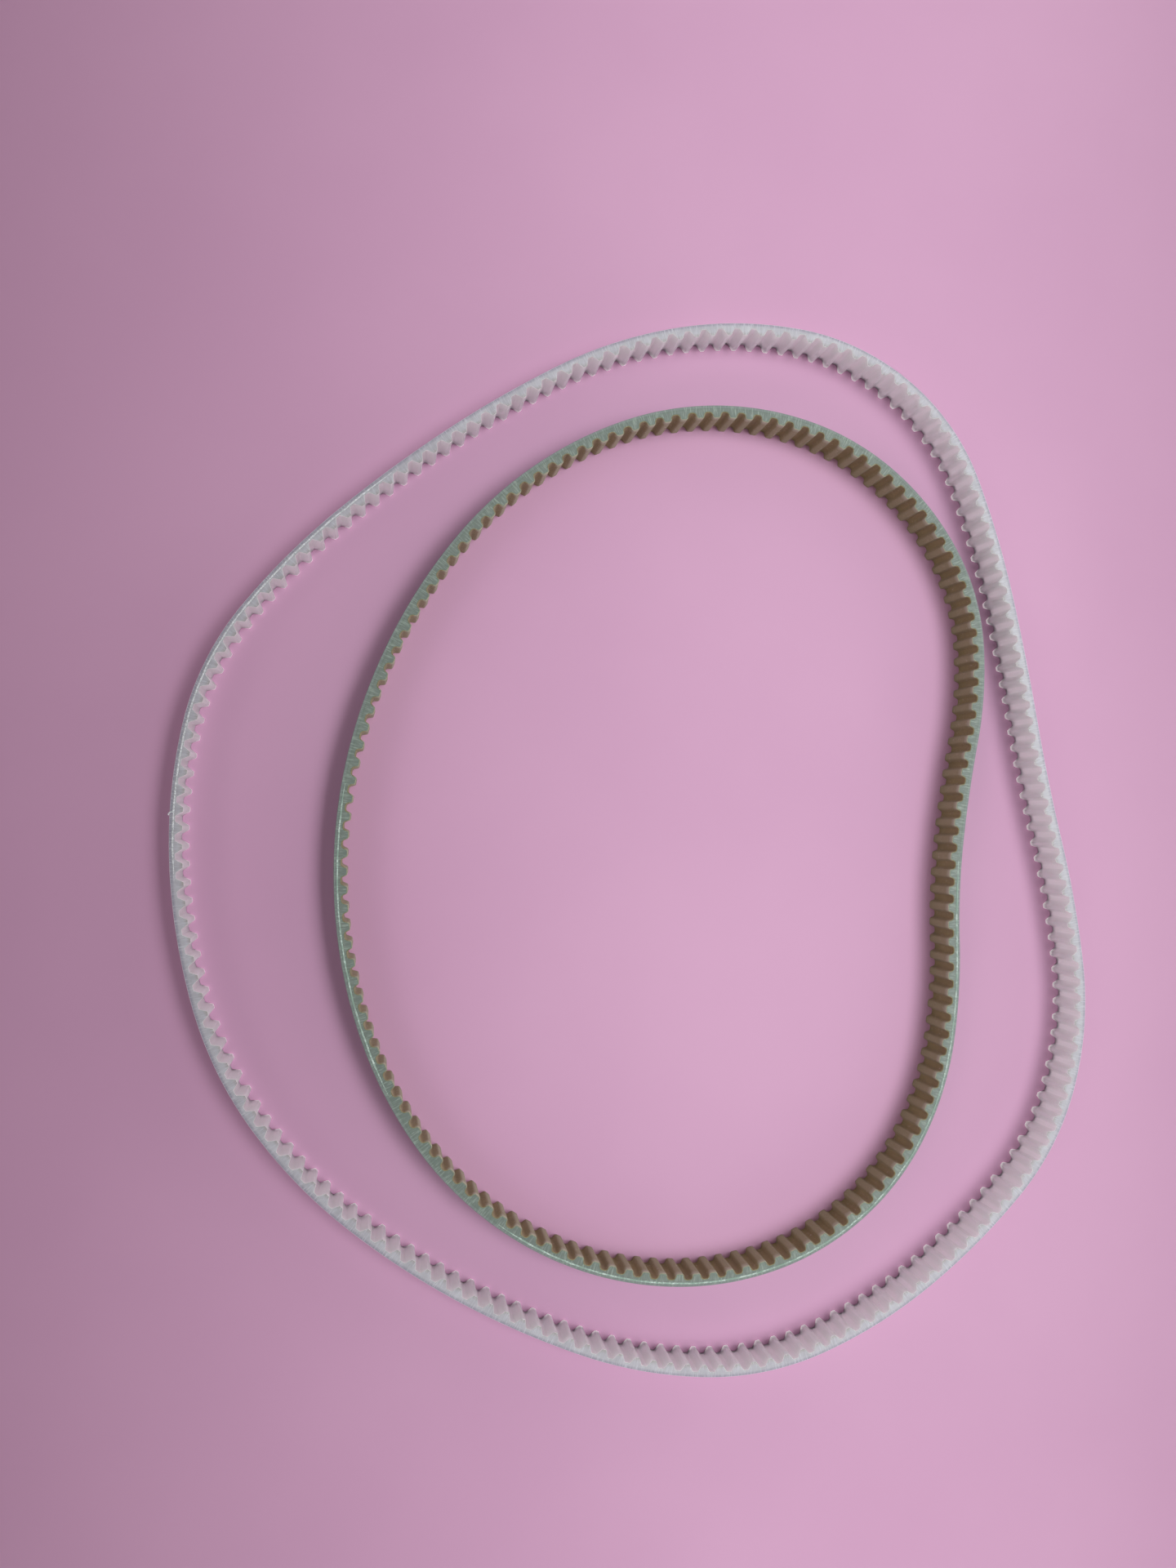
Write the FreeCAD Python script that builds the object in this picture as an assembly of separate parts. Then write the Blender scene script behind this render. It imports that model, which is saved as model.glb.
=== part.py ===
import FreeCAD, Part
import math
import os

os.makedirs("parts", exist_ok=True)

# Driving sizes in millimetres. Two endless belts stand on their cut edges, one inside the other.
PITCH = 5.0  # tooth spacing along the cord line of both belts
BELT_WIDTH = 12.0  # cut edge to cut edge, along Z

# Outer belt: plain cast polyurethane, teeth with crisp flanks.
OUTER_TEETH = 176
OUTER_BACKING = 1.5  # back face to the root between two teeth
OUTER_TOOTH_HEIGHT = 1.9
OUTER_TOOTH_BASE = 3.5
OUTER_TOOTH_TIP = 1.15
OUTER_ROOT_RADIUS = 0.4
OUTER_TIP_RADIUS = 0.25

# Inner belt: green polyurethane, its tooth side covered by a woven facing.
INNER_TEETH = 140
INNER_BACKING = 1.75
INNER_TOOTH_HEIGHT = 1.6
INNER_TOOTH_BASE = 3.0
INNER_TOOTH_TIP = 1.6
INNER_ROOT_RADIUS = 1.0
INNER_TIP_RADIUS = 0.3
FACING_THICKNESS = 0.25

# Tension cords, wound side by side through the middle of the backing.
CORD_DIAMETER = 0.5
CORD_DEPTH = 0.95  # back face to cord centre, where the pitch is measured
CORD_TURNS = 10
CORD_SPACING = BELT_WIDTH / (CORD_TURNS + 1)  # the turn after the last lies on the cut edge
CORD_PROUD = 0.05  # how far the cut cord stands out of the cut edge

# How each loop lies: back face stations (x, y, heading in degrees), taken clockwise.
OUTER_STATIONS = [
    (124.0, 0.0, -76.0),
    (127.5, -72.5, -106.0),
    (81.5, -128.0, -145.0),
    (13.0, -149.0, 174.0),
    (-55.0, -123.5, 149.0),
    (-109.5, -75.0, 125.0),
    (-131.0, -5.5, 93.0),
    (-113.0, 64.0, 52.0),
    (-59.5, 113.5, 36.0),
    (5.5, 146.5, 13.0),
    (76.0, 136.0, -36.0),
    (109.0, 72.0, -77.0),
]
INNER_STATIONS = [
    (93.0, 0.5, -97.0),
    (89.5, -58.5, -99.0),
    (61.0, -108.5, -142.0),
    (6.0, -124.5, 176.0),
    (-48.0, -103.0, 141.0),
    (-81.5, -55.0, 110.0),
    (-89.5, 3.0, 86.0),
    (-73.5, 59.5, 63.0),
    (-36.5, 105.0, 37.0),
    (18.0, 126.0, 3.0),
    (73.0, 109.0, -39.0),
    (100.0, 58.5, -87.0),
]
# Stretches where the slitting knife laid a cord bare, as (start, end) parts of the way round.
OUTER_BARE_CORD = (0.495, 0.645)
INNER_BARE_CORDS = [(0.005, 0.330), (0.395, 0.520)]


class Arc:
    """One stretch of a loop: a circular arc that starts at a point with a heading."""

    def __init__(self, start, heading, end):
        dx = end[0] - start[0]
        dy = end[1] - start[1]
        chord = math.hypot(dx, dy)
        half = math.remainder(math.atan2(dy, dx) - heading, 2.0 * math.pi)
        self.start = start
        self.heading = heading
        self.curvature = 2.0 * math.sin(half) / chord
        self.length = chord * half / math.sin(half) if abs(half) > 1e-9 else chord

    def point(self, along, inward=0.0):
        """Point at a distance along the arc, moved towards the inside of the loop."""
        turned = self.heading + self.curvature * along
        middle = self.heading + 0.5 * self.curvature * along
        swing = 0.5 * self.curvature * along
        reach = along * math.sin(swing) / swing if abs(swing) > 1e-9 else along
        x = self.start[0] + reach * math.cos(middle) + inward * math.sin(turned)
        y = self.start[1] + reach * math.sin(middle) - inward * math.cos(turned)
        return x, y


def two_arcs(start, heading, end, end_heading):
    """Two arcs that leave one station and reach the next without a kink."""
    first = (math.cos(heading), math.sin(heading))
    last = (math.cos(end_heading), math.sin(end_heading))
    vx = end[0] - start[0]
    vy = end[1] - start[1]
    along = vx * (first[0] + last[0]) + vy * (first[1] + last[1])
    bend = 2.0 * (1.0 - first[0] * last[0] - first[1] * last[1])
    reach = (math.sqrt(along * along + bend * (vx * vx + vy * vy)) - along) / bend
    joint = (
        0.5 * (start[0] + end[0] + reach * (first[0] - last[0])),
        0.5 * (start[1] + end[1] + reach * (first[1] - last[1])),
    )
    head = Arc(start, heading, joint)
    tail = Arc(joint, heading + head.curvature * head.length, end)
    return [head, tail]


class Loop:
    """A closed chain of arcs along the cord line, exactly a whole number of pitches long."""

    def __init__(self, stations, teeth):
        back = self.chain([(x, y, math.radians(h)) for x, y, h in stations])
        length = sum(arc.length for arc in back)
        scale = (teeth * PITCH + 2.0 * math.pi * CORD_DEPTH) / length
        moved = []
        for x, y, h in stations:
            heading = math.radians(h)
            cord_x = scale * x + CORD_DEPTH * math.sin(heading)
            cord_y = scale * y - CORD_DEPTH * math.cos(heading)
            moved.append((cord_x, cord_y, heading))
        self.teeth = teeth
        self.arcs = self.chain(moved)
        self.length = sum(arc.length for arc in self.arcs)

    @staticmethod
    def chain(stations):
        arcs = []
        for here, there in zip(stations, stations[1:] + stations[:1]):
            arcs += two_arcs(here[:2], here[2], there[:2], there[2])
        return arcs

    def point(self, along, inward, z=0.0):
        """Point at a distance round the loop, moved inward from the cord line."""
        rest = along % self.length
        for arc in self.arcs:
            if rest <= arc.length:
                break
            rest -= arc.length
        x, y = arc.point(rest, inward)
        return FreeCAD.Vector(x, y, z)

    def tooth_point(self, tooth, across, inward):
        """Point given in a tooth's own measure: across from its middle line, inward from the cord."""
        along = (tooth + across / PITCH) * self.length / self.teeth
        return self.point(along, inward)

    def smooth_wire(self, inward, z):
        edges = []
        for arc in self.arcs:
            places = [arc.point(share * arc.length, inward) for share in (0.0, 0.5, 1.0)]
            edges.append(Part.Arc(*[FreeCAD.Vector(x, y, z) for x, y in places]).toShape())
        return Part.Wire(edges)

    def open_wire(self, start, end, z):
        """The stretch of the cord line between two parts of the way round."""
        edges = []
        begun = 0.0
        for arc in self.arcs:
            low = max(start * self.length - begun, 0.0)
            high = min(end * self.length - begun, arc.length)
            begun += arc.length
            if high > low:
                places = [arc.point(place) for place in (low, 0.5 * (low + high), high)]
                edges.append(Part.Arc(*[FreeCAD.Vector(x, y, z) for x, y in places]).toShape())
        return Part.Wire(edges)


def rounded_corner(before, corner, after, radius):
    """Start, middle and end of the arc that rounds a corner between two straight runs."""
    to_before = math.atan2(before[1] - corner[1], before[0] - corner[0])
    to_after = math.atan2(after[1] - corner[1], after[0] - corner[0])
    opening = math.remainder(to_after - to_before, 2.0 * math.pi)
    trim = radius / abs(math.tan(0.5 * opening))
    bisector = to_before + 0.5 * opening
    to_middle = radius / abs(math.sin(0.5 * opening)) - radius
    places = [(to_before, trim), (bisector, to_middle), (to_after, trim)]
    return [(corner[0] + d * math.cos(a), corner[1] + d * math.sin(a)) for a, d in places]


def tooth_outline(backing, height, base, tip, root_radius, tip_radius, skin=0.0):
    """Twelve points of one tooth: a rounded corner at each root and each side of the tip."""
    lean = math.atan2(0.5 * (base - tip), height)
    spread = skin / math.cos(lean) - skin * math.tan(lean)
    root = backing - CORD_DEPTH + skin
    crest = root + height
    half_base = 0.5 * base + spread
    half_tip = 0.5 * tip + spread
    corners = [
        (-0.5 * PITCH, root),
        (-half_base, root),
        (-half_tip, crest),
        (half_tip, crest),
        (half_base, root),
        (0.5 * PITCH, root),
    ]
    radii = [root_radius - skin, tip_radius + skin, tip_radius + skin, root_radius - skin]
    outline = []
    for place, radius in enumerate(radii):
        outline += rounded_corner(*corners[place : place + 3], radius)
    return outline, root


def toothed_wire(loop, outline, root):
    """The inner outline of a belt: every tooth in turn, joined by the arcs between them."""
    edges = []
    for tooth in range(loop.teeth):
        spots = [loop.tooth_point(tooth, across, inward) for across, inward in outline]
        for first in (0, 3, 6, 9):
            edges.append(Part.Arc(*spots[first : first + 3]).toShape())
            if first < 9:
                edges.append(Part.makeLine(spots[first + 2], spots[first + 3]))
        between = loop.tooth_point(tooth, 0.5 * PITCH, root)
        following = loop.tooth_point((tooth + 1) % loop.teeth, *outline[0])
        edges.append(Part.Arc(spots[11], between, following).toShape())
    return Part.Wire(edges)


def ring(outer_wire, inner_wire):
    """Belt material between two outlines, from cut edge to cut edge."""
    section = Part.makeFace([outer_wire, inner_wire], "Part::FaceMakerBullseye")
    return section.extrude(FreeCAD.Vector(0.0, 0.0, BELT_WIDTH))


def cord_turn(loop, turn):
    """One whole turn of cord, level in the belt."""
    z = (turn + 1) * CORD_SPACING
    path = loop.smooth_wire(0.0, z)
    start = loop.point(0.0, 0.0, z)
    heading = loop.arcs[0].heading
    along = FreeCAD.Vector(math.cos(heading), math.sin(heading), 0.0)
    section = Part.Wire([Part.makeCircle(0.5 * CORD_DIAMETER, start, along)])
    return path.makePipeShell([section], True, False)


def bare_cord(loop, start, end):
    """A stretch of cord sliced lengthwise by the knife: half round, its flat side up."""
    z = BELT_WIDTH + CORD_PROUD
    radius = 0.5 * CORD_DIAMETER
    along = start * loop.length
    left = loop.point(along, -radius, z)
    right = loop.point(along, radius, z)
    bottom = loop.point(along, 0.0, z - radius)
    section = Part.Wire([Part.Arc(left, bottom, right).toShape(), Part.makeLine(right, left)])
    return loop.open_wire(start, end, z).makePipeShell([section], True, False)


def save(shape, node):
    shape.exportStep("parts/" + node + ".step")


outer_loop = Loop(OUTER_STATIONS, OUTER_TEETH)
inner_loop = Loop(INNER_STATIONS, INNER_TEETH)

outer_sizes = (
    OUTER_BACKING,
    OUTER_TOOTH_HEIGHT,
    OUTER_TOOTH_BASE,
    OUTER_TOOTH_TIP,
    OUTER_ROOT_RADIUS,
    OUTER_TIP_RADIUS,
)
inner_sizes = (
    INNER_BACKING,
    INNER_TOOTH_HEIGHT,
    INNER_TOOTH_BASE,
    INNER_TOOTH_TIP,
    INNER_ROOT_RADIUS,
    INNER_TIP_RADIUS,
)

outer_back = outer_loop.smooth_wire(-CORD_DEPTH, 0.0)
outer_teeth = toothed_wire(outer_loop, *tooth_outline(*outer_sizes))
inner_back = inner_loop.smooth_wire(-CORD_DEPTH, 0.0)
inner_teeth = toothed_wire(inner_loop, *tooth_outline(*inner_sizes))
facing_teeth = toothed_wire(inner_loop, *tooth_outline(*inner_sizes, FACING_THICKNESS))

pieces = {
    "outer_belt_body": ring(outer_back, outer_teeth),
    "inner_belt_body": ring(inner_back, inner_teeth),
    "inner_belt_facing": ring(inner_teeth, facing_teeth),
    "outer_belt_bare_cord": bare_cord(outer_loop, *OUTER_BARE_CORD),
}
for number, stretch in enumerate(INNER_BARE_CORDS, 1):
    pieces["inner_belt_bare_cord_" + str(number)] = bare_cord(inner_loop, *stretch)
for turn in range(CORD_TURNS):
    name = "cord_" + "sz"[turn % 2] + "_turn_" + str(turn // 2 + 1)
    pieces["outer_belt_" + name] = cord_turn(outer_loop, turn)
    pieces["inner_belt_" + name] = cord_turn(inner_loop, turn)

# The set stands with the middle of its outline over the origin and its cut edges on Z = 0.
box = pieces["outer_belt_body"].optimalBoundingBox()
to_middle = FreeCAD.Vector(-box.Center.x, -box.Center.y, 0.0)
for node, shape in pieces.items():
    save(shape.translated(to_middle), node)
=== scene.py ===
import math

import bmesh
import bpy
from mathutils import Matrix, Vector, noise


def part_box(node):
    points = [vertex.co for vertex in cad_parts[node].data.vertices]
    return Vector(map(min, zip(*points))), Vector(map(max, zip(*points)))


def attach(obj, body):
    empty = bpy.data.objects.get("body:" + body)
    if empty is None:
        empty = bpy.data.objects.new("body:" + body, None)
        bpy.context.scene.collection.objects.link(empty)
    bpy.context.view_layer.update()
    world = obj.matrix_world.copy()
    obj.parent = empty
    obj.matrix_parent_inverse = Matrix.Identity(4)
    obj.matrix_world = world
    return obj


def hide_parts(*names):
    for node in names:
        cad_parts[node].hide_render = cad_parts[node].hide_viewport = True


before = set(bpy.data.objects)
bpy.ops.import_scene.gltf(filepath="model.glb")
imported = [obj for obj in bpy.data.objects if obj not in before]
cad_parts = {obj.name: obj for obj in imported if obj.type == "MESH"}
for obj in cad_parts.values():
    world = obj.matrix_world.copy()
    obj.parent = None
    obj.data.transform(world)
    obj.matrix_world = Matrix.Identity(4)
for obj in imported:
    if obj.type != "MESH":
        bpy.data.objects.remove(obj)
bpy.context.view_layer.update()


# Floor, light and camera
# A plain pale sheet under the belts, with soft light from one large window to the right and a
# weak reflector to the left. The camera is hand-held above the set and leans to the right.
FLOOR_RADIUS = 6.0
PALE_PINK = (0.672, 0.362, 0.562, 1.0)
PALER_PINK = (0.704, 0.386, 0.588, 1.0)
WINDOW_WHITE = (0.97, 1.0, 1.0)
REFLECTED_WHITE = (1.0, 0.97, 0.96)
ROOM_WHITE = (1.0, 0.96, 0.96, 1.0)

floor_mesh = bmesh.new()
bmesh.ops.create_circle(floor_mesh, cap_ends=True, segments=96, radius=FLOOR_RADIUS)
floor_data = bpy.data.meshes.new("floor_sheet")
floor_mesh.to_mesh(floor_data)
floor_mesh.free()
floor_sheet = bpy.data.objects.new("floor_sheet", floor_data)
bpy.context.scene.collection.objects.link(floor_sheet)

pale_sheet = bpy.data.materials.new("pale_sheet")
pale_sheet.use_nodes = True
nodes, links = pale_sheet.node_tree.nodes, pale_sheet.node_tree.links
sheet_finish = nodes["Principled BSDF"]
sheet_finish.inputs["Roughness"].default_value = 0.62
sheet_place = nodes.new("ShaderNodeTexCoord")
sheet_mottle = nodes.new("ShaderNodeTexNoise")
sheet_mottle.inputs["Scale"].default_value = 9.0
sheet_mottle.inputs["Detail"].default_value = 3.0
sheet_tint = nodes.new("ShaderNodeValToRGB")
sheet_tint.color_ramp.elements[0].position = 0.35
sheet_tint.color_ramp.elements[0].color = PALE_PINK
sheet_tint.color_ramp.elements[1].position = 0.65
sheet_tint.color_ramp.elements[1].color = PALER_PINK
links.new(sheet_place.outputs["Object"], sheet_mottle.inputs["Vector"])
links.new(sheet_mottle.outputs["Fac"], sheet_tint.inputs["Fac"])
links.new(sheet_tint.outputs["Color"], sheet_finish.inputs["Base Color"])
floor_data.materials.append(pale_sheet)

# the room round it is bright low down, dim overhead, and brighter on the window's side
room = bpy.data.worlds.new("room")
room.use_nodes = True
nodes, links = room.node_tree.nodes, room.node_tree.links
nodes["Background"].inputs["Color"].default_value = ROOM_WHITE
towards = nodes.new("ShaderNodeTexCoord")
upward = nodes.new("ShaderNodeSeparateXYZ")
bright_walls = nodes.new("ShaderNodeMapRange")
bright_walls.inputs["From Min"].default_value = 0.35
bright_walls.inputs["From Max"].default_value = 0.75
bright_walls.inputs["To Min"].default_value = 0.95
bright_walls.inputs["To Max"].default_value = 0.06
window_side = nodes.new("ShaderNodeMapRange")
window_side.inputs["From Min"].default_value = -0.9
window_side.inputs["From Max"].default_value = 0.3
window_side.inputs["To Min"].default_value = 0.4
window_side.inputs["To Max"].default_value = 1.0
brightness = nodes.new("ShaderNodeMath")
brightness.operation = "MULTIPLY"
links.new(towards.outputs["Generated"], upward.inputs["Vector"])
links.new(upward.outputs["Z"], bright_walls.inputs["Value"])
links.new(upward.outputs["X"], window_side.inputs["Value"])
links.new(bright_walls.outputs["Result"], brightness.inputs[0])
links.new(window_side.outputs["Result"], brightness.inputs[1])
links.new(brightness.outputs["Value"], nodes["Background"].inputs["Strength"])
bpy.context.scene.world = room


def soft_light(name, place, aim, size, spread, power, colour):
    """A large soft panel of light with a narrowing grid, aimed at a point on the floor."""
    lamp = bpy.data.lights.new(name, "AREA")
    lamp.shape = "RECTANGLE"
    lamp.size, lamp.size_y = size
    lamp.spread = math.radians(spread)
    lamp.energy = power
    lamp.color = colour
    holder = bpy.data.objects.new(name, lamp)
    holder.location = place
    holder.rotation_euler = (Vector(aim) - Vector(place)).to_track_quat("-Z", "Y").to_euler()
    bpy.context.scene.collection.objects.link(holder)


soft_light(
    "window",
    place=(0.27, 0.0, 0.6),
    aim=(0.062, 0.0, 0.0),
    size=(1.1, 0.34),
    spread=47.0,
    power=0.85,
    colour=WINDOW_WHITE,
)
soft_light(
    "reflector",
    place=(-0.38, -0.02, 0.5),
    aim=(0.12, 0.0, 0.0),
    size=(0.6, 0.4),
    spread=50.0,
    power=0.12,
    colour=REFLECTED_WHITE,
)
bpy.context.scene.view_settings.view_transform = "Standard"

camera_data = bpy.data.cameras.new("camera")
camera_data.sensor_width = 36.0
camera_data.lens = 27.0
camera_data.clip_start = 0.01
camera = bpy.data.objects.new("camera", camera_data)
camera.location = (-0.0785, 0.0088, 0.335)
camera.rotation_euler = (math.radians(1.39), math.radians(-10.23), 0.0)
bpy.context.scene.collection.objects.link(camera)
bpy.context.scene.camera = camera


# Outer belt: the casting
# Milky polyurethane poured round its cords in a toothed mould, then slit to width with a knife,
# so the teeth are one with the backing and both edges are cut faces.
PITCH = 0.005
BELT_WIDTH = 0.012
CORD_DEPTH = 0.00095
EDGE_ROUNDING = 0.00008
ROOT_STEPS = 3
TIP_STEPS = 2
RIM_STEP = 0.0005
WELD_DISTANCE = 0.000004
SHARP_ANGLE = math.radians(40.0)
MOULDED, CUT = 0, 1
OUTER_TEETH = 176
OUTER_SIZES = {
    "backing": 0.0015,
    "height": 0.0019,
    "base": 0.0035,
    "tip": 0.00115,
    "root_radius": 0.0004,
    "tip_radius": 0.00025,
}
OUTER_STATIONS = [
    (0.1240, 0.0000, -76.0),
    (0.1275, -0.0725, -106.0),
    (0.0815, -0.1280, -145.0),
    (0.0130, -0.1490, 174.0),
    (-0.0550, -0.1235, 149.0),
    (-0.1095, -0.0750, 125.0),
    (-0.1310, -0.0055, 93.0),
    (-0.1130, 0.0640, 52.0),
    (-0.0595, 0.1135, 36.0),
    (0.0055, 0.1465, 13.0),
    (0.0760, 0.1360, -36.0),
    (0.1090, 0.0720, -77.0),
]


def single_arc(start, heading, end):
    """The circular arc that leaves start with a heading and reaches end."""
    step = end - start
    half = math.remainder(math.atan2(step.y, step.x) - heading, 2.0 * math.pi)
    length = step.length * half / math.sin(half) if abs(half) > 1e-9 else step.length
    return start, heading, 2.0 * math.sin(half) / step.length, length


def arcs_through(stations):
    """A closed chain of arcs through stations of (place, heading), two between each pair."""
    arcs = []
    for (start, heading), (end, end_heading) in zip(stations, stations[1:] + stations[:1]):
        first = Vector((math.cos(heading), math.sin(heading)))
        last = Vector((math.cos(end_heading), math.sin(end_heading)))
        step = end - start
        along = step.dot(first + last)
        bend = 2.0 * (1.0 - first.dot(last))
        reach = (math.sqrt(along * along + bend * step.dot(step)) - along) / bend
        joint = 0.5 * (start + end + reach * (first - last))
        head = single_arc(start, heading, joint)
        arcs += [head, single_arc(joint, heading + head[2] * head[3], end)]
    return arcs


def lie_of_belt(stations, teeth, node):
    """The cord line of a belt that lies as its CAD node does: its arcs and its place."""
    back = arcs_through([(Vector((x, y)), math.radians(h)) for x, y, h in stations])
    back_length = teeth * PITCH + 2.0 * math.pi * CORD_DEPTH
    scale = back_length / sum(arc[3] for arc in back)
    moved = []
    for x, y, h in stations:
        heading = math.radians(h)
        side = Vector((math.sin(heading), -math.cos(heading)))
        moved.append((scale * Vector((x, y)) + CORD_DEPTH * side, heading))
    arcs = arcs_through(moved)
    line = {"arcs": arcs, "length": sum(arc[3] for arc in arcs), "shift": Vector((0.0, 0.0))}
    line["tooth_step"] = line["length"] / teeth
    steps = int(line["length"] / RIM_STEP)
    rim = [place_on(line, RIM_STEP * step, -CORD_DEPTH, 0.0) for step in range(steps)]
    across = [point.x for point in rim]
    upward = [point.y for point in rim]
    low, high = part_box(node)
    line["shift"].x = 0.5 * (low[0] + high[0]) - 0.5 * (min(across) + max(across))
    line["shift"].y = 0.5 * (low[1] + high[1]) - 0.5 * (min(upward) + max(upward))
    return line


def place_on(line, along, inward, z):
    """A point given along the cord line, inward from it and up, moved to where the belt lies."""
    rest = along % line["length"]
    for start, heading, curvature, length in line["arcs"]:
        if rest <= length:
            break
        rest -= length
    swing = 0.5 * curvature * rest
    reach = rest * math.sin(swing) / swing if abs(swing) > 1e-9 else rest
    turned = heading + 2.0 * swing
    x = start.x + reach * math.cos(heading + swing) + inward * math.sin(turned) + line["shift"].x
    y = start.y + reach * math.sin(heading + swing) - inward * math.cos(turned) + line["shift"].y
    return Vector((x, y, z))


def rounded_corner(before, corner, after, radius, steps):
    """Points along the arc that rounds a corner between two straight runs."""
    to_before = (before - corner).normalized()
    to_after = (after - corner).normalized()
    opening = to_before.angle(to_after)
    centre = corner + (to_before + to_after).normalized() * radius / math.sin(0.5 * opening)
    first = corner + to_before * radius / math.tan(0.5 * opening) - centre
    last = corner + to_after * radius / math.tan(0.5 * opening) - centre
    sides = [first.lerp(last, step / steps).normalized() for step in range(steps + 1)]
    return [centre + radius * side for side in sides]


def tooth_side(sizes, skin=0.0):
    """One tooth's outline from root to root, with a skin over it: across its middle, inward."""
    lean = math.atan2(0.5 * (sizes["base"] - sizes["tip"]), sizes["height"])
    spread = skin / math.cos(lean) - skin * math.tan(lean)
    root = sizes["backing"] - CORD_DEPTH + skin
    crest = root + sizes["height"]
    foot = Vector((0.5 * sizes["base"] + spread, root))
    head = Vector((0.5 * sizes["tip"] + spread, crest))
    start, end = Vector((-0.5 * PITCH, root)), Vector((0.5 * PITCH, root))
    left_foot, left_head = Vector((-foot.x, root)), Vector((-head.x, crest))
    root_round = sizes["root_radius"] - skin
    tip_round = sizes["tip_radius"] + skin
    outline = [start]
    outline += rounded_corner(start, left_foot, left_head, root_round, ROOT_STEPS)
    outline += rounded_corner(left_foot, left_head, head, tip_round, TIP_STEPS)
    outline += rounded_corner(left_head, head, foot, tip_round, TIP_STEPS)
    outline += rounded_corner(head, foot, end, root_round, ROOT_STEPS)
    return outline + [end]


def belt_strip(inner_side, outer_side, teeth):
    """A straight length of belt section, one pitch of it repeated for every tooth."""
    pitch_cell = bmesh.new()
    chains = []
    for outline in (inner_side, outer_side):
        points = [pitch_cell.verts.new((point.x, point.y, 0.0)) for point in outline]
        chains += [pitch_cell.edges.new(pair) for pair in zip(points, points[1:])]
    edge_face = bmesh.ops.bridge_loops(pitch_cell, edges=chains)["faces"]
    grown = bmesh.ops.extrude_face_region(pitch_cell, geom=edge_face, use_keep_orig=True)["geom"]
    raised = [item for item in grown if isinstance(item, bmesh.types.BMVert)]
    bmesh.ops.translate(pitch_cell, vec=(0.0, 0.0, BELT_WIDTH), verts=raised)
    ends = [f for f in pitch_cell.faces if abs(f.calc_center_median().x) > 0.4999 * PITCH]
    bmesh.ops.delete(pitch_cell, geom=ends, context="FACES_ONLY")
    bmesh.ops.recalc_face_normals(pitch_cell, faces=pitch_cell.faces)
    rims = []
    for edge in pitch_cell.edges:
        if len(edge.link_faces) == 2:
            upright = [abs(face.normal.z) > 0.5 for face in edge.link_faces]
            if upright[0] != upright[1]:
                rims.append(edge)
    bmesh.ops.bevel(
        pitch_cell,
        geom=rims,
        offset=EDGE_ROUNDING,
        offset_type="OFFSET",
        segments=1,
        profile=0.5,
        affect="EDGES",
        material=-1,
    )
    one_pitch = bpy.data.meshes.new("one_pitch")
    pitch_cell.to_mesh(one_pitch)
    count = len(pitch_cell.verts)
    pitch_cell.free()
    strip = bmesh.new()
    for tooth in range(teeth):
        strip.from_mesh(one_pitch)
        strip.verts.ensure_lookup_table()
        bmesh.ops.translate(strip, vec=(tooth * PITCH, 0.0, 0.0), verts=strip.verts[-count:])
    bpy.data.meshes.remove(one_pitch)
    return strip


def measure_belt(strip):
    """Keeps each corner's place along and through the straight belt, and tells cut from moulded."""
    belt_measure = strip.loops.layers.uv.new("belt_measure")
    for face in strip.faces:
        face.material_index = CUT if abs(face.normal.z) > 0.9 else MOULDED
        for corner in face.loops:
            corner[belt_measure].uv = corner.vert.co.xy


def bend_round(strip, line):
    """Bends a straight strip round its belt's line, joins its ends and turns its faces outwards."""
    for vert in strip.verts:
        vert.co = place_on(line, vert.co.x * line["tooth_step"] / PITCH, vert.co.y, vert.co.z)
    bmesh.ops.remove_doubles(strip, verts=strip.verts, dist=WELD_DISTANCE)
    bmesh.ops.recalc_face_normals(strip, faces=strip.faces)


def finished(strip, name, body, *cad_nodes):
    """Makes a finished piece of a mesh that stands for its CAD nodes and rides on their body."""
    data = bpy.data.meshes.new(name)
    strip.to_mesh(data)
    strip.free()
    data.shade_smooth()
    data.set_sharp_from_angle(angle=SHARP_ANGLE)
    piece = bpy.data.objects.new(name, data)
    bpy.context.scene.collection.objects.link(piece)
    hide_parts(*cad_nodes)
    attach(piece, body)
    return piece


outer_line = lie_of_belt(OUTER_STATIONS, OUTER_TEETH, "outer_belt_body")
outer_tooth_side = tooth_side(OUTER_SIZES)
outer_back = [Vector((point.x, -CORD_DEPTH)) for point in outer_tooth_side]
outer_strip = belt_strip(outer_tooth_side, outer_back, OUTER_TEETH)
measure_belt(outer_strip)
bend_round(outer_strip, outer_line)
outer_casting = finished(outer_strip, "outer_casting", "outer_belt", "outer_belt_body")


def new_finish(name):
    """A material with its node tree and its one Principled shader."""
    material = bpy.data.materials.new(name)
    material.use_nodes = True
    return material, material.node_tree, material.node_tree.nodes["Principled BSDF"]


def object_place(tree):
    """A place on the piece, in its own coordinates."""
    return tree.nodes.new("ShaderNodeTexCoord").outputs["Object"]


def own_map(tree, name):
    """A place on one of the piece's own maps."""
    place = tree.nodes.new("ShaderNodeUVMap")
    place.uv_map = name
    return place.outputs["UV"]


def one_axis(tree, place, axis):
    """One coordinate of a place."""
    parts = tree.nodes.new("ShaderNodeSeparateXYZ")
    tree.links.new(place, parts.inputs["Vector"])
    return parts.outputs[axis]


def noise_over(tree, place, scale, detail=2.0):
    """A cloudy pattern, finer with a larger scale."""
    pattern = tree.nodes.new("ShaderNodeTexNoise")
    pattern.inputs["Scale"].default_value = scale
    pattern.inputs["Detail"].default_value = detail
    tree.links.new(place, pattern.inputs["Vector"])
    return pattern.outputs["Fac"]


def product(tree, first, second):
    """Two values or masks multiplied."""
    both = tree.nodes.new("ShaderNodeMath")
    both.operation = "MULTIPLY"
    tree.links.new(first, both.inputs[0])
    tree.links.new(second, both.inputs[1])
    return both.outputs["Value"]


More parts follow.
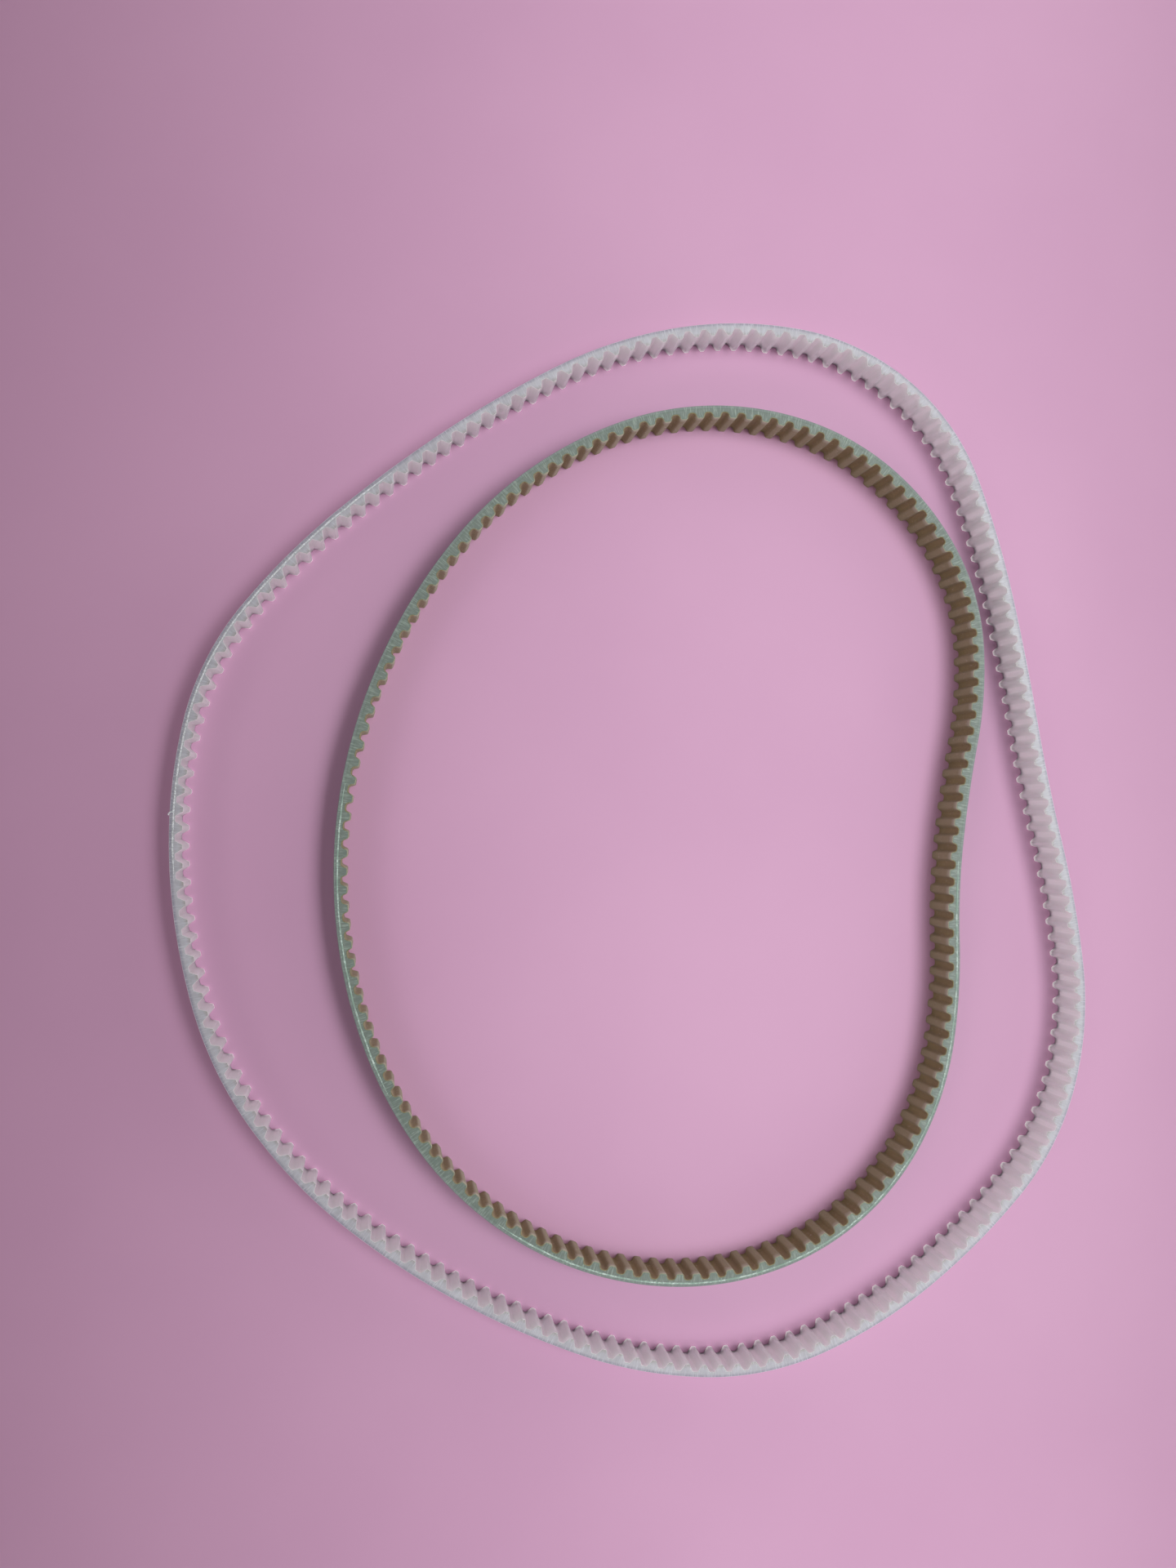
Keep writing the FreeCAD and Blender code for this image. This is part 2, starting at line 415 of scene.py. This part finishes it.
def ramped(tree, value, low, high):
    """A value stretched so that low becomes 0 and high becomes 1."""
    stretch = tree.nodes.new("ShaderNodeMapRange")
    stretch.inputs["From Min"].default_value = low
    stretch.inputs["From Max"].default_value = high
    tree.links.new(value, stretch.inputs["Value"])
    return stretch.outputs["Result"]


def blended(tree, mask, first, second):
    """A colour that goes from first to second as a mask rises. Each is a socket or a colour."""
    mix = tree.nodes.new("ShaderNodeMix")
    mix.data_type = "RGBA"
    tree.links.new(mask, mix.inputs["Factor"])
    for socket, colour in (("A", first), ("B", second)):
        entry = [i for i in mix.inputs if i.name == socket and i.type == "RGBA"][0]
        if isinstance(colour, tuple):
            entry.default_value = (*colour, 1.0)
        else:
            tree.links.new(colour, entry)
    return [o for o in mix.outputs if o.type == "RGBA"][0]


def bumped(tree, shader, height, strength, distance):
    """Raises a shader's surface by a height pattern."""
    bump = tree.nodes.new("ShaderNodeBump")
    bump.inputs["Strength"].default_value = strength
    bump.inputs["Distance"].default_value = distance
    tree.links.new(height, bump.inputs["Height"])
    tree.links.new(bump.outputs["Normal"], shader.inputs["Normal"])


def knife_marks_group():
    """Fine scratches straight across a cut edge: a height and a mask, from the belt's own map."""
    group = bpy.data.node_groups.new("knife_marks", "ShaderNodeTree")
    group.interface.new_socket("Spacing", in_out="INPUT", socket_type="NodeSocketFloat")
    group.interface.new_socket("Height", in_out="OUTPUT", socket_type="NodeSocketFloat")
    group.interface.new_socket("Mask", in_out="OUTPUT", socket_type="NodeSocketFloat")
    given = group.nodes.new("NodeGroupInput")
    result = group.nodes.new("NodeGroupOutput")
    stretch = group.nodes.new("ShaderNodeMapping")
    stretch.inputs["Scale"].default_value = (1.0, 0.12, 1.0)
    stretch.inputs["Rotation"].default_value = (0.0, 0.0, math.radians(14.0))
    scratches = group.nodes.new("ShaderNodeTexNoise")
    scratches.inputs["Detail"].default_value = 4.0
    scratches.inputs["Roughness"].default_value = 0.65
    group.links.new(own_map(group, "belt_measure"), stretch.inputs["Vector"])
    group.links.new(stretch.outputs["Vector"], scratches.inputs["Vector"])
    group.links.new(given.outputs["Spacing"], scratches.inputs["Scale"])
    bright = ramped(group, scratches.outputs["Fac"], 0.48, 0.72)
    group.links.new(scratches.outputs["Fac"], result.inputs["Height"])
    group.links.new(bright, result.inputs["Mask"])
    return group


def dust_group():
    """Specks of dust and lint that cling to rubbery surfaces: a mask."""
    group = bpy.data.node_groups.new("dust_specks", "ShaderNodeTree")
    group.interface.new_socket("Density", in_out="INPUT", socket_type="NodeSocketFloat")
    group.interface.new_socket("Mask", in_out="OUTPUT", socket_type="NodeSocketFloat")
    given = group.nodes.new("NodeGroupInput")
    result = group.nodes.new("NodeGroupOutput")
    place = object_place(group)
    specks = group.nodes.new("ShaderNodeTexVoronoi")
    specks.inputs["Scale"].default_value = 900.0
    small = group.nodes.new("ShaderNodeMath")
    small.operation = "LESS_THAN"
    patches = noise_over(group, place, 140.0, 2.0)
    reach = product(group, patches, given.outputs["Density"])
    group.links.new(place, specks.inputs["Vector"])
    group.links.new(specks.outputs["Distance"], small.inputs[0])
    group.links.new(reach, small.inputs[1])
    mask = product(group, small.outputs["Value"], specks.outputs["Color"])
    group.links.new(mask, result.inputs["Mask"])
    return group


knife_marks = knife_marks_group()
dust_specks = dust_group()


def effect(tree, group, setting, amount):
    """The outputs of an effect's node group, with its one setting."""
    node = tree.nodes.new("ShaderNodeGroup")
    node.node_tree = group
    node.inputs[setting].default_value = amount
    return node.outputs


# moulded faces: satin, milky and a little see-through, with flow streaks across the width
THIN_MILK = (0.895, 0.935, 0.885)
FULL_MILK = (0.930, 0.965, 0.925)
FLOW_STREAK = (0.965, 0.985, 0.955)
PALE_DUST = (0.92, 0.90, 0.88)
# painted glint and painted glow for the lower tooth tips
PAINTED_TIP_GLINT = (1.0, 0.98, 0.98)
PAINTED_TIP_GLOW = (1.0, 0.93, 0.92)
NO_GLOW = (0.0, 0.0, 0.0)

moulded_milky, tree, shader = new_finish("moulded_milky_polyurethane")
shader.inputs["Roughness"].default_value = 0.34
shader.inputs["Transmission Weight"].default_value = 0.15
shader.inputs["Subsurface Weight"].default_value = 1.0
shader.inputs["Subsurface Radius"].default_value = (0.010, 0.009, 0.009)
shader.inputs["Subsurface Scale"].default_value = 1.0
place = object_place(tree)
upright = tree.nodes.new("ShaderNodeMapping")
upright.inputs["Scale"].default_value = (1.0, 1.0, 0.06)
tree.links.new(place, upright.inputs["Vector"])
streaks = noise_over(tree, upright.outputs["Vector"], 1400.0, 3.0)
clouds = noise_over(tree, place, 60.0, 4.0)
dust = effect(tree, dust_specks, "Density", 0.42)
milk = blended(tree, ramped(tree, clouds, 0.35, 0.65), THIN_MILK, FULL_MILK)
milk = blended(tree, ramped(tree, streaks, 0.45, 0.8), milk, FLOW_STREAK)
milk = blended(tree, dust["Mask"], milk, PALE_DUST)
# painted glints: the lower tips are lightened and given a faint emitted glow, standing in for light
# led down through the clear teeth
low_down = ramped(tree, one_axis(tree, place, "Z"), 0.0013, 0.0005)
near_tip = ramped(tree, one_axis(tree, own_map(tree, "belt_measure"), "Y"), 0.0011, 0.0019)
painted_glint_mask = product(tree, low_down, near_tip)
milk = blended(tree, painted_glint_mask, milk, PAINTED_TIP_GLINT)
painted_glow = blended(tree, painted_glint_mask, NO_GLOW, PAINTED_TIP_GLOW)
tree.links.new(milk, shader.inputs["Base Color"])
tree.links.new(painted_glow, shader.inputs["Emission Color"])
shader.inputs["Emission Strength"].default_value = 0.42
bumped(tree, shader, streaks, 0.25, 0.00008)
outer_casting.data.materials.append(moulded_milky)

# cut edges: frosted by the knife, with painted shade along the see-through back, greyer at the
# tips, with fine marks across
FROST = (0.46, 0.455, 0.495)
PALE_FROST = (0.55, 0.545, 0.585)
PAINTED_BACK_SHADE = (0.33, 0.32, 0.39)
GREY_TIP = (0.40, 0.37, 0.37)
WHITE_MARK = (0.63, 0.64, 0.69)

cut_milky, tree, shader = new_finish("cut_milky_polyurethane")
shader.inputs["Roughness"].default_value = 0.36
shader.inputs["Subsurface Weight"].default_value = 0.5
shader.inputs["Subsurface Radius"].default_value = (0.003, 0.003, 0.003)
shader.inputs["Subsurface Scale"].default_value = 1.0
marks = effect(tree, knife_marks, "Spacing", 2600.0)
clouds = noise_over(tree, object_place(tree), 300.0, 3.0)
depth = one_axis(tree, own_map(tree, "belt_measure"), "Y")
frost = blended(tree, ramped(tree, clouds, 0.3, 0.7), FROST, PALE_FROST)
# painted shade: greyer along the back, where the clear backing lets the light through
frost = blended(tree, ramped(tree, depth, 0.0, -0.0006), frost, PAINTED_BACK_SHADE)
frost = blended(tree, ramped(tree, depth, 0.0013, 0.0023), frost, GREY_TIP)
frost = blended(tree, marks["Mask"], frost, WHITE_MARK)
tree.links.new(frost, shader.inputs["Base Color"])
bumped(tree, shader, marks["Height"], 0.35, 0.00006)
outer_casting.data.materials.append(cut_milky)


# Outer belt: the tension cords
# Two thin yarns, one laid left and one right, wound side by side round the mould before the pour.
# The knife ran along the last turn, so a stretch of it lies bare on the edge, with one loose end.
BARE_CORD_RADIUS = 0.00024
OUTER_BARE_CORD = (0.495, 0.645)
YARN_STEP = 0.00025
YARN_STRANDS = 3
STRAND_BULGE = 0.16
TWIST_LENGTH = 0.0019
TAPER_LENGTH = 0.012
THIN_END = 0.25
UNEVEN_THICKNESS = 0.35
SIDE_DRIFT = 0.00012
DEPTH_DRIFT = 0.00010
SUNK_DEPTH = 0.00007
LOOSE_END = 0.517
LOOSE_STRAND_RADIUS = 0.00016
LOOSE_STRAND_RISE = 0.00008
LOOSE_TURN = math.radians(75.0)
BEND_OUT, BEND_BACK, BEND_STEPS = 0.0008, 0.0009, 8


def bare_yarn(line, start, end, seed):
    """A twisted yarn of a few strands, lying half sunk along a belt's upper cut edge."""
    run = (end - start) * line["length"]
    steps = int(run / YARN_STEP)
    yarn = bmesh.new()
    ring = bmesh.ops.create_circle(yarn, segments=12, radius=BARE_CORD_RADIUS)["verts"]
    for vert in ring:
        round_it = math.atan2(vert.co.y, vert.co.x)
        vert.co *= 1.0 + STRAND_BULGE * math.cos(YARN_STRANDS * round_it)
        vert.co = Vector((0.0, vert.co.x, vert.co.y))
    bmesh.ops.spin(
        yarn,
        geom=yarn.edges[:],
        cent=(0.0, 0.0, 0.0),
        axis=(1.0, 0.0, 0.0),
        dvec=(run / steps, 0.0, 0.0),
        angle=math.radians(360.0 * run / TWIST_LENGTH),
        steps=steps,
    )
    bmesh.ops.holes_fill(yarn, edges=[edge for edge in yarn.edges if edge.is_boundary])
    for vert in yarn.verts:
        along = vert.co.x
        from_ends = min(along, run - along)
        uneven = noise.noise(Vector((along * 700.0, 3.0, seed)))
        aside = noise.noise(Vector((along * 160.0, seed, 0.0)))
        deeper = noise.noise(Vector((along * 90.0, 7.0, seed)))
        taper = min(1.0, THIN_END + from_ends / TAPER_LENGTH)
        thick = taper * (1.0 + UNEVEN_THICKNESS * uneven)
        vert.co.x = along + start * line["length"]
        vert.co.y = vert.co.y * thick + SIDE_DRIFT * aside
        vert.co.z = vert.co.z * thick + DEPTH_DRIFT * deeper - SUNK_DEPTH + BELT_WIDTH
    return yarn


def loose_end(yarn, along):
    """A split-off strand that swings out towards the back of the belt and lies down again."""
    strand = bmesh.ops.create_circle(yarn, segments=8, radius=LOOSE_STRAND_RADIUS)["verts"]
    for vert in strand:
        vert.co = Vector((along, vert.co.x, vert.co.y + BELT_WIDTH + LOOSE_STRAND_RISE))
    ring = list({edge for vert in strand for edge in vert.link_edges})
    outward = Vector((-math.sin(LOOSE_TURN), math.cos(LOOSE_TURN), 0.0))
    bend_centre = Vector((along, -BEND_OUT, 0.0))
    far_centre = bend_centre + outward * (BEND_OUT + BEND_BACK)
    for centre, angle in ((bend_centre, LOOSE_TURN), (far_centre, -LOOSE_TURN)):
        swept = bmesh.ops.spin(
            yarn, geom=ring, cent=centre, axis=(0.0, 0.0, 1.0), angle=angle, steps=BEND_STEPS
        )
        ring = [item for item in swept["geom_last"] if isinstance(item, bmesh.types.BMEdge)]
    bmesh.ops.holes_fill(yarn, edges=[edge for edge in yarn.edges if edge.is_boundary])


def lay_along(yarn, line):
    """Lays a straight yarn along its belt's line and turns its faces outwards again.

    A place on the line is given inward, so laying the yarn down mirrors it.
    """
    bmesh.ops.recalc_face_normals(yarn, faces=yarn.faces)
    for vert in yarn.verts:
        vert.co = place_on(line, vert.co.x, vert.co.y, vert.co.z)
    bmesh.ops.reverse_faces(yarn, faces=yarn.faces)


outer_yarn = bare_yarn(outer_line, *OUTER_BARE_CORD, 1.0)
loose_end(outer_yarn, LOOSE_END * outer_line["length"])
lay_along(outer_yarn, outer_line)
outer_bare_yarn = finished(outer_yarn, "outer_bare_yarn", "outer_belt", "outer_belt_bare_cord")

FIBRE_SHADE = (0.55, 0.58, 0.60)
FIBRE_WHITE = (0.92, 0.94, 0.97)

white_yarn, tree, shader = new_finish("white_yarn")
shader.inputs["Roughness"].default_value = 0.42
shader.inputs["Sheen Weight"].default_value = 0.3
fibres = noise_over(tree, object_place(tree), 1800.0, 4.0)
yarn_colour = blended(tree, ramped(tree, fibres, 0.38, 0.62), FIBRE_SHADE, FIBRE_WHITE)
tree.links.new(yarn_colour, shader.inputs["Base Color"])
bumped(tree, shader, fibres, 0.5, 0.00008)
outer_bare_yarn.data.materials.append(white_yarn)

# the turns inside both castings stay as they are, in the same yarn
for cad_name, cad_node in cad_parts.items():
    if "_turn_" in cad_name:
        cad_node.data.materials.clear()
        cad_node.data.materials.append(white_yarn)


# Inner belt: the casting
# Green polyurethane on the same kind of cords, but its teeth are covered by a woven facing, so
# only the back and the two cut edges of the green show.
INNER_TEETH = 140
INNER_SIZES = {
    "backing": 0.00175,
    "height": 0.0016,
    "base": 0.0030,
    "tip": 0.0016,
    "root_radius": 0.0010,
    "tip_radius": 0.0003,
}
INNER_STATIONS = [
    (0.0930, 0.0005, -97.0),
    (0.0895, -0.0585, -99.0),
    (0.0610, -0.1085, -142.0),
    (0.0060, -0.1245, 176.0),
    (-0.0480, -0.1030, 141.0),
    (-0.0815, -0.0550, 110.0),
    (-0.0895, 0.0030, 86.0),
    (-0.0735, 0.0595, 63.0),
    (-0.0365, 0.1050, 37.0),
    (0.0180, 0.1260, 3.0),
    (0.0730, 0.1090, -39.0),
    (0.1000, 0.0585, -87.0),
]

inner_line = lie_of_belt(INNER_STATIONS, INNER_TEETH, "inner_belt_body")
inner_tooth_side = tooth_side(INNER_SIZES)
inner_back = [Vector((point.x, -CORD_DEPTH)) for point in inner_tooth_side]
inner_strip = belt_strip(inner_tooth_side, inner_back, INNER_TEETH)
measure_belt(inner_strip)
bend_round(inner_strip, inner_line)
inner_casting = finished(inner_strip, "inner_casting", "inner_belt", "inner_belt_body")

# the moulded back: satin and evenly green, with a fine grain
DEEP_GREEN = (0.15, 0.215, 0.17)
SOFT_GREEN = (0.19, 0.26, 0.21)
GREEN_DUST = (0.45, 0.50, 0.44)

moulded_green, tree, shader = new_finish("moulded_green_polyurethane")
shader.inputs["Roughness"].default_value = 0.38
shader.inputs["Subsurface Weight"].default_value = 0.15
shader.inputs["Subsurface Radius"].default_value = (0.0008, 0.0012, 0.0010)
shader.inputs["Subsurface Scale"].default_value = 1.0
place = object_place(tree)
clouds = noise_over(tree, place, 80.0, 5.0)
grain = noise_over(tree, place, 2500.0)
dust = effect(tree, dust_specks, "Density", 0.4)
green = blended(tree, ramped(tree, clouds, 0.3, 0.7), DEEP_GREEN, SOFT_GREEN)
green = blended(tree, dust["Mask"], green, GREEN_DUST)
tree.links.new(green, shader.inputs["Base Color"])
bumped(tree, shader, grain, 0.15, 0.00005)
inner_casting.data.materials.append(moulded_green)

# the cut edges: greyer green, with a painted highlight along the back rim, a dark line where the
# cords run and pale knife marks
CUT_GREEN = (0.160, 0.200, 0.178)
PALE_CUT_GREEN = (0.190, 0.228, 0.200)
GREEN_BACK_HIGHLIGHT = (0.20, 0.235, 0.225)
CORD_SEAM = (0.15, 0.20, 0.165)
GREEN_MARK = (0.36, 0.44, 0.37)

cut_green, tree, shader = new_finish("cut_green_polyurethane")
shader.inputs["Subsurface Weight"].default_value = 0.2
shader.inputs["Subsurface Radius"].default_value = (0.0008, 0.0012, 0.0010)
shader.inputs["Subsurface Scale"].default_value = 1.0
marks = effect(tree, knife_marks, "Spacing", 2400.0)
clouds = noise_over(tree, object_place(tree), 25.0, 3.0)
depth = one_axis(tree, own_map(tree, "belt_measure"), "Y")
seam = tree.nodes.new("ShaderNodeValToRGB")
seam.color_ramp.elements[1].color = (0.0, 0.0, 0.0, 1.0)
for position, level in ((0.36, 0.0), (0.44, 1.0), (0.50, 1.0), (0.58, 0.0)):
    stop = seam.color_ramp.elements.new(position)
    stop.color = (level, level, level, 1.0)
tree.links.new(ramped(tree, depth, -CORD_DEPTH, CORD_DEPTH), seam.inputs["Fac"])
cut_colour = blended(tree, ramped(tree, clouds, 0.35, 0.65), CUT_GREEN, PALE_CUT_GREEN)
# painted highlight: lighter and bluer along the back rim of the cut edge
cut_colour = blended(tree, ramped(tree, depth, -0.0001, -0.0004), cut_colour, GREEN_BACK_HIGHLIGHT)
cut_colour = blended(tree, seam.outputs["Color"], cut_colour, CORD_SEAM)
cut_colour = blended(tree, marks["Mask"], cut_colour, GREEN_MARK)
tree.links.new(cut_colour, shader.inputs["Base Color"])
bumped(tree, shader, marks["Height"], 0.4, 0.00006)
inner_casting.data.materials.append(cut_green)


# Inner belt: the tooth facing
# Brown nylon cloth laid into the mould before the pour. It follows every tooth, takes the wear
# of the pulleys, and shows its pale cut threads along both edges of the belt.
FACING_THICKNESS = 0.00025

facing_side = tooth_side(INNER_SIZES, FACING_THICKNESS)
facing_strip = belt_strip(facing_side, inner_tooth_side, INNER_TEETH)
cloth_run = [0.0]
for here, there in zip(facing_side, facing_side[1:]):
    cloth_run.append(cloth_run[-1] + (there - here).length)


def cloth_length(across):
    """How far along the cloth a place across one tooth is."""
    for index, (here, there) in enumerate(zip(facing_side, facing_side[1:])):
        if across <= there.x:
            break
    share = (across - here.x) / (there.x - here.x)
    return cloth_run[index] + share * (cloth_run[index + 1] - cloth_run[index])


cloth_measure = facing_strip.loops.layers.uv.new("cloth_measure")
for face in facing_strip.faces:
    tooth = round(face.calc_center_median().x / PITCH)
    for corner in face.loops:
        across = corner.vert.co.x - tooth * PITCH
        corner[cloth_measure].uv = (tooth * cloth_run[-1] + cloth_length(across), corner.vert.co.z)
measure_belt(facing_strip)
bend_round(facing_strip, inner_line)
tooth_facing = finished(facing_strip, "tooth_facing", "inner_belt", "inner_belt_facing")

# the cloth: rows of thread with dark gaps, paler on the crests from wear and from a painted
# highlight, and frayed at their upper ends
BROWN_CLOTH = (0.276, 0.214, 0.066)
PALE_CLOTH = (0.356, 0.285, 0.094)
CLOTH_GAP = (0.165, 0.126, 0.044)
WORN_LIT_THREAD = (0.300, 0.262, 0.118)
WORN_LIT_GAP = (0.200, 0.166, 0.068)
FRAYED_END = (0.44, 0.44, 0.31)
BROWN_DUST = (0.45, 0.38, 0.28)

woven_nylon, tree, shader = new_finish("woven_nylon")
shader.inputs["Roughness"].default_value = 0.62
shader.inputs["Sheen Weight"].default_value = 0.25
place = object_place(tree)
depth = one_axis(tree, own_map(tree, "belt_measure"), "Y")
weave = tree.nodes.new("ShaderNodeTexBrick")
weave.inputs["Scale"].default_value = 1900.0
weave.inputs["Mortar Size"].default_value = 0.06
weave.inputs["Mortar Smooth"].default_value = 0.8
weave.inputs["Brick Width"].default_value = 1.0
weave.inputs["Row Height"].default_value = 0.45
weave.inputs["Color1"].default_value = (0.9, 0.9, 0.9, 1.0)
weave.inputs["Color2"].default_value = (0.6, 0.6, 0.6, 1.0)
tree.links.new(own_map(tree, "cloth_measure"), weave.inputs["Vector"])
wear = noise_over(tree, place, 120.0, 5.0)
dust = effect(tree, dust_specks, "Density", 0.36)
gaps = ramped(tree, weave.outputs["Color"], 0.95, 0.2)
upper_end = ramped(tree, one_axis(tree, place, "Z"), 0.0098, 0.0118)
near_crest = ramped(tree, depth, 0.0016, 0.0023)
frayed = product(tree, upper_end, near_crest)
# paler crest colours: partly wear, partly a painted highlight on the crests
worn_and_lit = blended(tree, gaps, WORN_LIT_THREAD, WORN_LIT_GAP)
cloth = blended(tree, ramped(tree, wear, 0.35, 0.65), BROWN_CLOTH, PALE_CLOTH)
cloth = blended(tree, gaps, cloth, CLOTH_GAP)
cloth = blended(tree, ramped(tree, depth, 0.0021, 0.0026), cloth, worn_and_lit)
cloth = blended(tree, frayed, cloth, FRAYED_END)
cloth = blended(tree, dust["Mask"], cloth, BROWN_DUST)
tree.links.new(cloth, shader.inputs["Base Color"])
bumped(tree, shader, weave.outputs["Color"], 0.6, 0.00006)
tooth_facing.data.materials.append(woven_nylon)

# the cloth's cut threads along both edges
DARK_THREAD = (0.20, 0.18, 0.11)
PALE_THREAD = (0.40, 0.39, 0.27)

cut_threads, tree, shader = new_finish("cut_threads")
shader.inputs["Roughness"].default_value = 0.7
threads = noise_over(tree, own_map(tree, "cloth_measure"), 3800.0, 2.0)
thread_ends = blended(tree, ramped(tree, threads, 0.35, 0.65), DARK_THREAD, PALE_THREAD)
tree.links.new(thread_ends, shader.inputs["Base Color"])
bumped(tree, shader, threads, 0.6, 0.00008)
tooth_facing.data.materials.append(cut_threads)


# Inner belt: the bare cords
# The same yarn as in the outer belt, laid bare by the knife along two stretches of the upper
# edge and stained green by the polyurethane that was cut with it.
INNER_BARE_CORDS = [(0.005, 0.330), (0.395, 0.520)]
GREEN_FIBRE_SHADE = (0.32, 0.46, 0.39)
GREEN_FIBRE = (0.72, 0.84, 0.78)
GREEN_STAIN = (0.30, 0.44, 0.36)

green_yarn, tree, shader = new_finish("green_stained_yarn")
shader.inputs["Roughness"].default_value = 0.42
shader.inputs["Sheen Weight"].default_value = 0.3
place = object_place(tree)
fibres = noise_over(tree, place, 1500.0, 4.0)
stain = noise_over(tree, place, 260.0)
yarn_colour = blended(tree, ramped(tree, fibres, 0.42, 0.60), GREEN_FIBRE_SHADE, GREEN_FIBRE)
yarn_colour = blended(tree, ramped(tree, stain, 0.48, 0.62), yarn_colour, GREEN_STAIN)
tree.links.new(yarn_colour, shader.inputs["Base Color"])
bumped(tree, shader, fibres, 0.5, 0.00008)

for number, stretch in enumerate(INNER_BARE_CORDS, 1):
    inner_yarn = bare_yarn(inner_line, *stretch, 4.0 + number)
    lay_along(inner_yarn, inner_line)
    bare_piece = finished(
        inner_yarn, f"inner_bare_yarn_{number}", "inner_belt", f"inner_belt_bare_cord_{number}"
    )
    bare_piece.data.materials.append(green_yarn)
